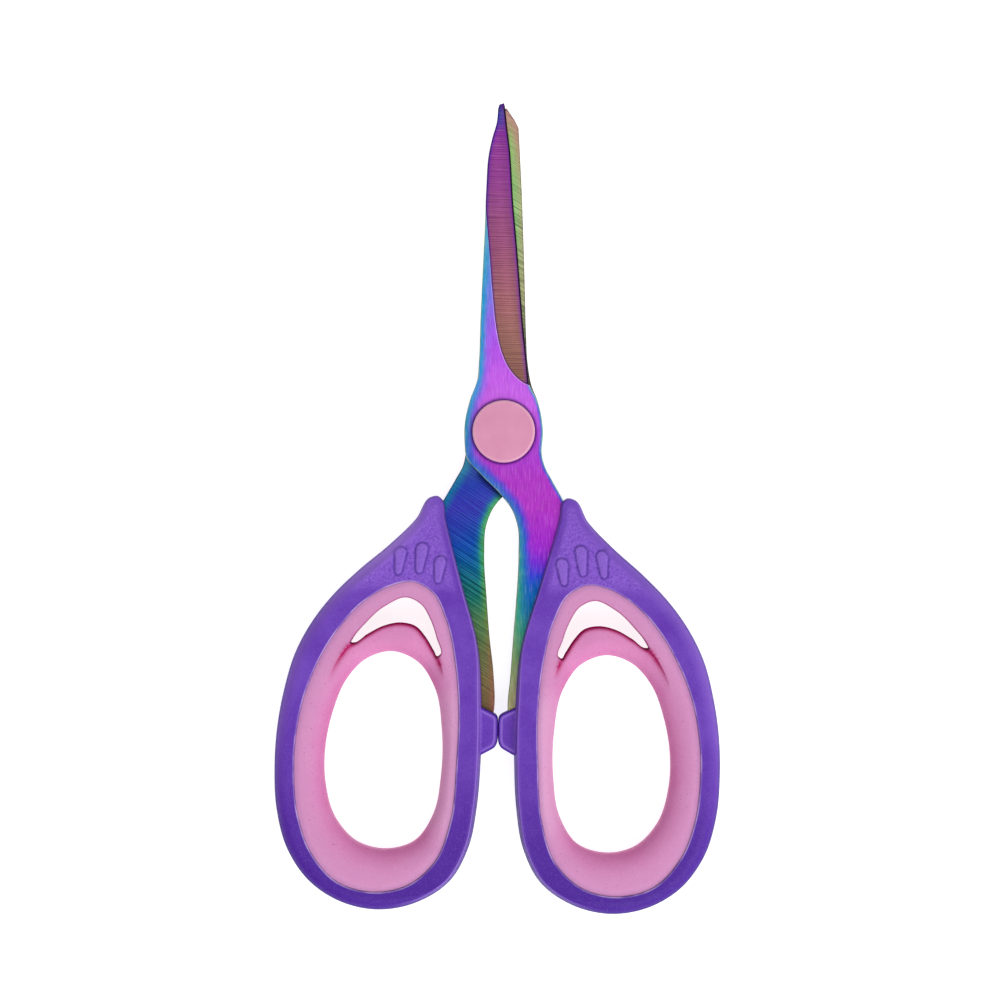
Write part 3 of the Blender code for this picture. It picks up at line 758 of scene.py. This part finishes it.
class Finish:
    """A node material, with short calls for the nodes it needs. Colours are given as they look
    under the studio light, and the light's strength and the surface's sheen are taken out. Where
    a call takes a value, a name stands for the numbers marked on the mesh under that name."""

    def __init__(self, name, light, sheen, metallic=0.0, **constants):
        self.material = bpy.data.materials.new(name)
        self.material.use_nodes = True
        self.light, self.sheen = light, sheen
        self.tree = self.material.node_tree
        self.shader = self.tree.nodes["Principled BSDF"]
        self.shader.inputs["Metallic"].default_value = metallic
        for socket, value in constants.items():
            self.shader.inputs[socket.replace("_", " ")].default_value = value
        metres = self.node("TexCoord", {})["Object"]
        scaled = self.node("VectorMath", {0: metres, "Scale": 1 / MM}, operation="SCALE")[0]
        self.place = self.vector("SUBTRACT", scaled, tuple(PIVOT))
        self.x, self.y, self.z = self.node("SeparateXYZ", {0: self.place})

    def node(self, kind, inputs, **settings):
        for key, value in inputs.items():
            if isinstance(value, str):
                inputs[key] = add(self.tree, "Attribute", {}, attribute_name=value)["Fac"]
        return add(self.tree, kind, inputs, **settings)

    def looks(self, *levels):
        """The base colour that looks like these screen levels."""
        seen = rgb(*levels)[:3]
        return [min(max((c - self.sheen) / self.light, 0.001), 1.0) for c in seen] + [1.0]

    def vector(self, operation, a, b):
        return self.node("VectorMath", {0: a, 1: b}, operation=operation)[0]

    def math(self, operation, a, b):
        return self.node("Math", {0: a, 1: b}, operation=operation)[0]

    def times(self, a, b):
        return self.math("MULTIPLY", a, b)

    def from_axis(self):
        """The distance from the pivot's axis."""
        flat = self.vector("MULTIPLY", self.place, (1, 1, 0))
        return self.node("VectorMath", {0: flat}, operation="LENGTH")["Value"]

    def mix(self, factor, a, b, blend="MIX"):
        return self.node("Mix", {0: factor, 6: a, 7: b}, data_type="RGBA", blend_type=blend)[2]

    def coats(self, base, *layers):
        """Colours laid over a base, one after another. Each is where it goes, how much of it
        there is at the most, and its screen levels."""
        for where, amount, *levels in layers:
            base = self.mix(self.times(where, amount), base, self.looks(*levels))
        return base

    def scale(self, value, low, high, to_low=0.0, to_high=1.0, way="LINEAR"):
        """Maps low to high onto another range, and holds the value at both ends."""
        return self.node("MapRange", {0: value, 1: low, 2: high, 3: to_low, 4: to_high},
                         interpolation_type=way)[0]

    def ease(self, *numbers):
        return self.scale(*numbers, way="SMOOTHSTEP")

    def ramp(self, value, stops):
        """Colours along a value. Each stop is where it is, and its screen levels."""
        low, high = stops[0][0], stops[-1][0]
        made = self.tree.nodes.new("ShaderNodeValToRGB")
        elements = made.color_ramp.elements
        while len(elements) < len(stops):
            elements.new(0.5)
        for element, (at, *levels) in zip(elements, stops):
            element.position = (at - low) / (high - low)
            element.color = self.looks(*levels)
        self.tree.links.new(self.scale(value, low, high), made.inputs[0])
        return made.outputs["Color"]

    def noise(self, scale, detail, rough, place=None):
        return self.node("TexNoise", {"Scale": scale, "Detail": detail, "Roughness": rough,
                                      "Vector": place or self.place})["Fac"]

    def strokes(self, slant, per_mm, detail, waver):
        """Long straight strokes. Slant is the angle in degrees that they fall to the right."""
        sine, cosine = math.sin(math.radians(slant)), math.cos(math.radians(slant))
        across = self.math("ADD", self.times(self.x, sine), self.times(self.y, cosine))
        along = self.math("SUBTRACT", self.times(self.x, cosine), self.times(self.y, sine))
        joined = self.node("CombineXYZ", {0: self.times(across, per_mm),
                                          1: self.times(along, waver)})[0]
        return self.node("TexNoise", {"Scale": 1.0, "Detail": detail, "Roughness": 0.6,
                                      "Vector": joined}, noise_dimensions="2D")["Fac"]

    def bump(self, height, distance, strength):
        """Adds a bump, its distance in millimetres, to any that the surface has already."""
        inputs = {"Strength": strength, "Distance": distance * MM, "Height": height}
        normal = self.shader.inputs["Normal"]
        if normal.is_linked:
            inputs["Normal"] = normal.links[0].from_socket
        self.drive("Normal", self.node("Bump", inputs)[0])

    def drive(self, socket, source):
        """Links a source to one of the shader's sockets."""
        self.tree.links.new(source, self.shader.inputs[socket])

    def roughness(self, low, high, scale):
        """Roughness that drifts between two values."""
        self.drive("Roughness", self.scale(self.noise(scale, 4, 0.6), 0.3, 0.7, low, high))


def purple_plastic():
    made = Finish("purple_moulded", *PLASTIC, IOR=1.46, Specular_IOR_Level=0.32)
    cloud, speck = made.noise(0.14, 4, 0.6), made.noise(3.2, 4, 0.8)
    pebble, scuff = made.noise(2.0, 3, 0.65), made.noise(0.9, 5, 0.7)
    lower = made.ease(made.y, -56, -96)
    upper = made.ease(made.y, -84, -50)
    left_arm_highlight = made.times(made.ease(made.x, -2, -20), made.ease(made.y, -40, -22))
    patchy_highlight = made.scale(made.noise(0.16, 3, 0.6), 0.4, 0.6, 0.25, 0.85)
    made.drive("Base Color", made.coats(
        made.ramp(cloud, [(0.35, 108, 65, 181), (0.68, 122, 80, 194)]),
        # Painted shade: the bow's lower part darker, as if lit from above
        (lower, 0.95, 84, 40, 156),
        # Painted light: the panel lighter, as if lit from above
        ("panel", 0.85, 154, 106, 228),
        (made.scale(speck, 0.52, 0.74), 0.38, 148, 110, 216),
        (made.scale(speck, 0.48, 0.28), 0.35, 74, 36, 144),
        (made.times(made.scale(pebble, 0.5, 0.34), "panel"), 0.4, 88, 50, 160),
        (made.times(made.scale(pebble, 0.52, 0.68), "panel"), 0.35, 172, 134, 232),
        # Painted highlights on the round outer edge, on its upper part and along the left arm
        (made.times("edge", upper), 0.6, 150, 112, 212),
        (made.times("edge", left_arm_highlight), 0.7, 186, 146, 242),
        # Painted light on the side wall beside the other handle, and a painted highlight along its
        # crest
        (made.times("flank", upper), 0.7, 176, 130, 240),
        ("crest", 0.75, 172, 136, 232),
        # Painted shade: a dark line where the round edges turn away, and on the stop's edges
        ("outline", 0.5, 56, 26, 126),
        # Painted highlight along the border with the pink grip, uneven along its length
        (made.times("rim", patchy_highlight), 1.0, 208, 176, 232),
        # Painted highlight on the raised teardrops, brightest just inside their edge
        ("drop", 0.85, 158, 118, 224),
        # Painted shade in the groove round each teardrop
        ("moat", 0.55, 60, 30, 128),
        # Painted shade on the stop's face where the tang meets it
        ("contact", 0.6, 46, 20, 106),
        (made.scale(scuff, 0.69, 0.76), 0.55, 176, 146, 226)))
    # Less sheen along the outline, which deepens the painted shade there
    made.drive("Specular IOR Level", made.scale("outline", 0.0, 1.0, 0.32, 0.12))
    made.roughness(0.44, 0.6, 0.7)
    made.bump(made.noise(4.0, 3, 0.6), 0.06, 0.8)
    made.bump(made.times(pebble, "panel"), 0.4, 0.8)
    return made.material


def pink_rubber():
    made = Finish("pink_soft_touch", *PLASTIC, IOR=1.45, Specular_IOR_Level=0.3,
                  Subsurface_Weight=0.1, Subsurface_Scale=0.001,
                  Subsurface_Radius=(1.0, 0.5, 0.6))
    border_shade = made.ease("band", 1.3, 0.15)
    cloud, grain = made.noise(0.22, 4, 0.6), made.noise(2.6, 4, 0.7)
    speck = made.scale(made.noise(2.2, 1, 0.5), 0.70, 0.76)
    made.drive("Base Color", made.coats(
        made.ramp("across", [(0, 218, 124, 180), (0.15, 220, 134, 188), (0.4, 220, 145, 195),
                             (0.6, 218, 149, 197), (1, 220, 155, 202)]),
        # Painted light: the narrow side of the ring paler
        ("slim", 0.65, 232, 176, 216),
        # Painted shade on the pink next to the purple border
        (border_shade, 0.45, 182, 130, 180),
        # Painted light: the lowered arch lighter than the rest of the ring
        ("arch", 0.8, 229, 146, 199),
        (made.scale(cloud, 0.4, 0.7), 0.25, 226, 162, 206),
        # Painted shade: dark wine in the crescent's slot, along the arch's crease and at its ends
        ("slot", 0.6, 158, 46, 106),
        ("crease", 0.97, 186, 14, 106),
        (speck, 0.4, 165, 84, 135),
        (made.scale(grain, 0.46, 0.26), 0.2, 178, 96, 150),
        (made.scale(grain, 0.54, 0.76), 0.25, 240, 190, 224)))
    # The painted shade in the slot and crease also loses its sheen
    slot_and_crease_shade = made.math("MAXIMUM", "slot", "crease")
    made.drive("Specular IOR Level", made.scale(slot_and_crease_shade, 0.0, 0.7, 0.3, 0.0))
    made.roughness(0.48, 0.64, 0.9)
    made.bump(made.noise(6.0, 3, 0.6), 0.03, 0.6)
    made.bump(made.noise(0.5, 2, 0.5), 0.15, 0.35)
    return made.material


def pink_cap():
    made = Finish("pink_cap_moulded", *PLASTIC, IOR=1.46, Specular_IOR_Level=0.35)
    radius = made.from_axis()
    made.drive("Base Color", made.coats(
        made.ramp(made.noise(0.25, 4, 0.6), [(0.35, 225, 152, 185), (0.7, 231, 161, 192)]),
        # Painted highlight on the cap's rounded rim
        (made.scale(radius, 5.7, 6.1), 0.6, 240, 184, 208)))
    made.roughness(0.42, 0.56, 1.2)
    rings = made.node("TexNoise", {"Scale": 3.0, "W": radius}, noise_dimensions="1D")
    made.bump(rings["Fac"], 0.03, 0.6)
    made.bump(made.noise(6.0, 3, 0.6), 0.03, 0.5)
    return made.material


def turned_steel():
    made = Finish("turned_steel", *METAL, metallic=1.0)
    streak = made.noise(1.0, 4, 0.6, made.vector("MULTIPLY", made.place, (0.6, 0.6, 14)))
    made.drive("Base Color", made.ramp(streak, [(0.35, 150, 150, 156), (0.7, 196, 197, 201)]))
    made.roughness(0.28, 0.44, 1.5)
    made.bump(streak, 0.02, 0.6)
    return made.material


# The film's hues along a blade, v and screen levels: on the outer face at the rim, further in
# and along the middle, then on the bevel, and on the inner face inside, at the rim and on the lip
RIM_HUES = [
    (-60, 156, 142, 104), (-46, 112, 146, 95), (-36, 60, 150, 120), (-26, 40, 140, 150),
    (-14, 60, 110, 190), (-6, 50, 110, 190), (1, 49, 146, 181), (8, 60, 150, 215),
    (17, 40, 150, 212), (27, 25, 156, 208), (40, 85, 170, 205), (56, 70, 110, 190),
    (66, 60, 80, 160)]
MIDDLE = [
    (-60, 150, 136, 108), (-52, 132, 134, 102), (-46, 88, 132, 94), (-40, 50, 146, 116),
    (-32, 20, 116, 160), (-24, 40, 80, 205), (-14, 80, 66, 205), (-4, 96, 90, 214),
    (4, 124, 98, 226), (10, 150, 104, 232), (17, 160, 102, 238), (24, 134, 118, 234),
    (30, 108, 132, 228), (38, 80, 146, 218), (48, 72, 146, 200), (66, 60, 80, 160)]
OUTER = [
    (-62, 140, 130, 90), (-54, 125, 128, 90), (-46, 86, 132, 92), (-40, 36, 132, 116),
    (-36, 16, 112, 150), (-32, 26, 84, 190), (-29, 56, 62, 204), (-26, 112, 44, 204),
    (-22, 160, 42, 200), (-16, 176, 56, 192), (-9, 174, 58, 195), (-2, 170, 66, 206),
    (6, 202, 102, 231), (12, 196, 96, 232), (17, 182, 88, 236), (23, 150, 104, 234),
    (28, 118, 126, 232), (38, 90, 150, 215), (48, 85, 168, 198)]
BEVEL = [
    (9, 150, 106, 88), (12, 146, 102, 86), (17, 150, 106, 92), (27, 158, 100, 106),
    (37, 152, 84, 118), (47, 146, 74, 134), (57, 140, 56, 148), (62, 134, 54, 154),
    (63.6, 102, 60, 160), (65, 62, 74, 164), (66.2, 44, 90, 158), (67.2, 26, 58, 90),
    (68, 14, 30, 48)]
INNER = [
    (-60, 120, 90, 66), (-52, 116, 100, 62), (-46, 104, 112, 66), (-40, 84, 124, 74),
    (-34, 24, 112, 92), (-29, 8, 94, 140), (-24, 22, 70, 172), (-16, 60, 52, 178),
    (-11, 44, 58, 174), (-5, 60, 90, 160), (6, 150, 170, 130), (18, 180, 190, 138),
    (30, 164, 182, 124), (42, 150, 206, 126), (54, 160, 206, 122), (61, 150, 196, 110),
    (64, 176, 168, 116), (66, 190, 148, 130)]
INNER_RIM = [
    (-60, 128, 84, 70), (-50, 120, 100, 66), (-42, 92, 124, 70), (-32, 20, 134, 108),
    (-22, 14, 128, 150), (-12, 24, 116, 160), (-4, 70, 150, 170), (8, 170, 160, 116),
    (30, 164, 174, 122), (42, 148, 198, 122), (50, 152, 194, 124), (59, 182, 170, 130),
    (64, 204, 154, 140)]
# The lip's dark hues around v 10 are painted shade, where the front blade shades the strip beside
# its edge
INNER_LIP = [
    (-60, 150, 84, 78), (-46, 130, 106, 66), (-36, 92, 140, 60), (-28, 64, 156, 76),
    (-20, 84, 172, 80), (-12, 70, 164, 96), (0, 60, 90, 76), (10, 56, 54, 42), (17, 92, 96, 66),
    (24, 142, 150, 102), (30, 172, 172, 124), (42, 180, 184, 130), (50, 184, 196, 134),
    (56, 192, 168, 130), (62, 198, 150, 132), (66, 204, 146, 140)]
# The colour of the inner face's pale strokes
PALE = [
    (-52, 180, 150, 116), (-38, 116, 170, 130), (-28, 84, 172, 216), (-6, 84, 172, 216),
    (8, 226, 232, 190)]


def flat_film(made, v, fuzz, edge, brushed):
    """The outer face's flat: three hues that follow each other in from its sides."""
    hue = made.math("ADD", "hue", fuzz)
    film = made.mix(made.ease(hue, 2.9, 1.1), made.ramp(v, OUTER), made.ramp(v, MIDDLE))
    film = made.mix(made.ease(hue, 1.7, 0.3), film, made.ramp(v, RIM_HUES))
    film = made.mix(made.scale(brushed, 0.5, 0.72, 0.0, 0.3), film, made.looks(120, 70, 160),
                    "MULTIPLY")
    return made.coats(
        film,
        (made.scale(brushed, 0.46, 0.28), 0.13, 255, 200, 255),
        # Painted shadow round the foot of the pivot cap
        (made.ease(made.from_axis(), 7.2, CAP_R), 0.85, 50, 12, 96),
        # Pale yellow-green along the very edge: partly the film's own hue, partly a painted
        # highlight on the edge's rounding
        (made.scale(edge, 0.3, 0.05), 0.6, 176, 205, 140))


def bevel_film(made, v, edge, lines):
    """The ground bevel, brushed across, with a painted dark shade line on each side: along the
    cutting edge and just past the grind line. It is also darkened by painted shade towards its
    outline.
    """
    film = made.coats(
        made.ramp(v, BEVEL),
        (made.scale(lines, 0.5, 0.36), 0.68, 78, 30, 62),
        (made.scale(lines, 0.56, 0.7), 0.3, 210, 150, 158),
        # Painted shade towards the outline, here and in the darkening that follows
        (made.scale(edge, 0.9, 0.2), 0.55, 74, 40, 164))
    film = made.mix(made.scale(edge, 0.16, 0.4, 0.75, 0), film, made.looks(110, 100, 168),
                    "MULTIPLY")
    upper = made.scale(made.y, 18, 36)
    return made.coats(
        film,
        (made.scale("cutting", 1.3, 0.3), 0.35, 146, 56, 162),
        # Painted shade: a near-black line along the cutting edge
        (made.scale("cutting", 0.44, 0.24), 0.97, 18, 12, 24),
        (made.times(made.scale("ground", 0.8, 0.1), upper), 0.4, 98, 48, 160),
        # Painted shade: a dark line just past the grind line
        (made.scale("ground", 0.42, 0.1), 0.85, 64, 22, 100))


def inner_film(made, v, fuzz, edge, slanted):
    """The face towards the other blade, with slanted strokes."""
    near = made.ease(made.math("ADD", "near", fuzz), 1.5, 0.1)
    film = made.mix(made.ease(edge, 0.1, 2.4, 0.95, 0), made.ramp(v, INNER),
                    made.ramp(v, INNER_RIM))
    film = made.mix(near, film, made.ramp(v, INNER_LIP))
    film = made.coats(film, (made.scale(slanted, 0.5, 0.36), 0.7, 12, 18, 52))
    film = made.mix(made.scale(slanted, 0.57, 0.72, 0.0, 0.42), film, made.ramp(made.y, PALE))
    # Painted shade: a darker line along the inner face's edge, and the painted shadow of the front
    # blade on the rear tang
    return made.coats(film, (made.scale(edge, 0.26, 0.12), 0.5, 70, 56, 56),
                      ("shade", 0.85, 6, 12, 40))


def coating(name, slant):
    """Rainbow film on ground steel. The hue follows the film's thickness: along the blade, and
    towards its edges. Slant is the angle that the strokes on the inner face fall."""
    made = Finish(name, *METAL, metallic=1.0)
    drift = made.scale(made.noise(0.10, 3, 0.5), 0.3, 0.7, -2.0, 2.0)
    v = made.math("ADD", made.y, drift)
    fuzz = made.scale(made.noise(0.5, 3, 0.55), 0.3, 0.7, -0.2, 0.2)
    edge = made.math("ADD", "edge", made.times(fuzz, 0.4))
    brushed, lines = made.strokes(90, 6.0, 3, 0.3), made.strokes(-0.5, 5.4, 2, 0.03)
    slanted = made.strokes(slant, 10.0, 2, 0.035)

    on_bevel = made.scale("ground", -0.01, 0.05)
    outside = made.mix(on_bevel, flat_film(made, v, fuzz, edge, brushed),
                       bevel_film(made, v, edge, lines))
    glint = made.times(made.scale("ground", -0.16, -0.06), made.scale("ground", 0.03, 0.0))
    glint = made.times(glint, made.scale(made.y, 38, 20))
    outside = made.coats(outside, (glint, 0.55, 236, 196, 250))
    made.drive("Base Color", made.mix("outer", inner_film(made, v, fuzz, edge, slanted), outside))

    made.roughness(0.25, 0.38, 0.8)
    texture = made.mix("outer", slanted, made.mix(on_bevel, brushed, lines))
    made.bump(texture, 0.03, 0.6)
    return made.material


# ---- the pieces ----

def show(piece, body, material, slot, *nodes):
    piece.data.materials.clear()
    piece.data.materials.append(material)
    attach(piece, body)
    if nodes:
        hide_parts(*nodes)


# For each half: its side, blade, hand, body and the parts of its outline
HALVES = [
    (1, "front", "right", FRONT, (FRONT_TIP, FRONT_SPINE, FRONT_TANG, FRONT_SHANK, FRONT_EDGE)),
    (-1, "rear", "left", REAR, (REAR_TIP, REAR_SPINE, REAR_TANG, REAR_SHANK, REAR_EDGE))]
purple, pink, cap_pink, steel = purple_plastic(), pink_rubber(), pink_cap(), turned_steel()

for side, label, _, body, parts in HALVES:
    film = coating(f"coated_steel_{label}", -STROKES_FALL * side)
    show(blade(f"{label}_blade_ground", side, parts), body, film, "coated_steel", f"{label}_blade")
for side, _, hand, body, parts in HALVES:
    show(bow(f"{hand}_bow", side, closed_outline(*parts)), body, purple, "purple_plastic",
         f"{hand}_handle_frame")
for side, _, hand, body, _ in HALVES:
    show(finger_ring(f"{hand}_finger_ring", side), body, pink, "pink_soft_grip",
         f"{hand}_grip_insert")

shoulder_r = CAP_R - CAP_EDGE_R
for up, label, *_ in HALVES:
    shape = [(0, CAP_TOP), (0.6, CAP_TOP), (2.0, CAP_TOP - 0.01), (4.0, CAP_TOP - 0.05),
             (shoulder_r - 0.3, CAP_SHOULDER + 0.015), (shoulder_r, CAP_SHOULDER)]
    shape += [(shoulder_r + CAP_EDGE_R * math.sin(t),
               CAP_SHOULDER - CAP_EDGE_R * (1 - math.cos(t)))
              for t in np.radians([10, 25, 40, 55, 70, 80, 90])]
    shape += [(CAP_R, 0.42), (CAP_R - 0.05, CAP_FOOT + 0.05), (CAP_R - 0.2, CAP_FOOT),
              (CAP_MOUTH_R + 0.05, CAP_FOOT), (CAP_MOUTH_R, CAP_FOOT + 0.05), (CAP_MOUTH_R, 0.5),
              (CAP_HOLLOW_R, 0.6), (CAP_HOLLOW_R, CAP_ROOF - 0.02),
              (CAP_HOLLOW_R - 0.15, CAP_ROOF), (0, CAP_ROOF)]
    cap = turned(f"{label}_cap", [(r, up * (FACE + z)) for r, z in shape])
    show(cap, FRONT, cap_pink, "pink_cap", f"{label}_pivot_cap")

head = [(0, HEAD_TOP), (1.0, HEAD_TOP), (HEAD_R - 0.6, HEAD_TOP), (HEAD_R - 0.3, HEAD_TOP - 0.06),
        (HEAD_R - 0.08, HEAD_TOP - 0.18), (HEAD_R, HEAD_TOP - 0.35), (HEAD_R, HEAD_FOOT + 0.04),
        (HEAD_R - 0.04, HEAD_FOOT), (COLLAR_R, HEAD_FOOT), (COLLAR_R, COLLAR_FOOT),
        (SHANK_R + 0.05, COLLAR_FOOT), (SHANK_R, COLLAR_FOOT - 0.04)]
stack = [(r, FACE + z) for r, z in head] + [(r, -FACE - z) for r, z in head[::-1]]
show(turned("turned_rivet", stack), FRONT, steel, "plain_steel", "pivot_rivet")
for name, up, dish in (("front_washer", 1, 0.0), ("tension_washer", -1, DISH)):
    ring = [(WASHER_BORE_R, WASHER_FOOT + dish), (WASHER_R - 0.04, WASHER_FOOT),
            (WASHER_R, WASHER_FOOT + 0.04), (WASHER_R, WASHER_TOP - 0.04 - dish),
            (WASHER_R - 0.04, WASHER_TOP - dish), (WASHER_BORE_R, WASHER_TOP)]
    washer = turned(f"{name}_turned", [(r, up * (FACE + z)) for r, z in ring], closed=True)
    show(washer, FRONT, steel, "plain_steel", name)


# ---- floor, light and camera ----

def floor():
    mesh = bpy.data.meshes.new("floor")
    corners = [(-1, -1), (1, -1), (1, 1), (-1, 1)]
    mesh.from_pydata([(x * FLOOR_REACH, y * FLOOR_REACH, 0) for x, y in corners], [],
                     [(0, 1, 2, 3)])
    made = bpy.data.objects.new("floor", mesh)
    bpy.context.scene.collection.objects.link(made)
    paper = bpy.data.materials.new("floor_paper")
    paper.use_nodes = True
    inputs = paper.node_tree.nodes["Principled BSDF"].inputs
    inputs["Base Color"].default_value = (0.5, 0.5, 0.5, 1)
    inputs["Roughness"].default_value = 0.9
    inputs["Emission Color"].default_value = (1, 1, 1, 1)
    inputs["Emission Strength"].default_value = FLOOR_GLOW
    mesh.materials.append(paper)


def studio():
    """A soft white tent that is dimmer low down and to the left, and one large lamp, high up
    towards the lower right."""
    world = bpy.data.worlds.new("studio")
    bpy.context.scene.world = world
    world.use_nodes = True
    tree = world.node_tree
    sky = tree.nodes["Background"].inputs
    sky["Color"].default_value = (1, 1, 1, 1)
    way = add(tree, "SeparateXYZ", {0: add(tree, "TexCoord", {})["Generated"]})
    low, high = TENT
    height = add(tree, "MapRange", {0: way["Z"], 1: 0.0, 2: TENT_HIGH, 3: low, 4: high})
    leaned = add(tree, "Math", {0: way["X"], 1: TENT_LEAN, 2: height[0]},
                 operation="MULTIPLY_ADD")
    held = add(tree, "Math", {0: leaned[0], 1: TENT_LEAST}, operation="MAXIMUM")
    tree.links.new(held[0], sky["Strength"])

    light = bpy.data.lights.new("overhead", "AREA")
    light.shape = "SQUARE"
    light.size = LAMP_SIZE
    light.energy = LAMP_POWER
    lamp = bpy.data.objects.new("overhead", light)
    lamp.location = LAMP_AT
    lamp.rotation_euler = (-Vector(LAMP_AT)).to_track_quat("-Z", "Y").to_euler()
    bpy.context.scene.collection.objects.link(lamp)


def camera():
    lens = bpy.data.cameras.new("camera")
    lens.sensor_width = SENSOR
    lens.lens = SENSOR * (CAMERA_AT[2] - VIEW_LEVEL) / VIEW_WIDTH
    lens.clip_start = 0.01
    made = bpy.data.objects.new("camera", lens)
    made.location = CAMERA_AT
    made.rotation_euler = (0, 0, math.radians(CAMERA_TURN))
    bpy.context.scene.collection.objects.link(made)
    bpy.context.scene.camera = made


floor()
studio()
camera()
bpy.context.scene.view_settings.view_transform = "Standard"
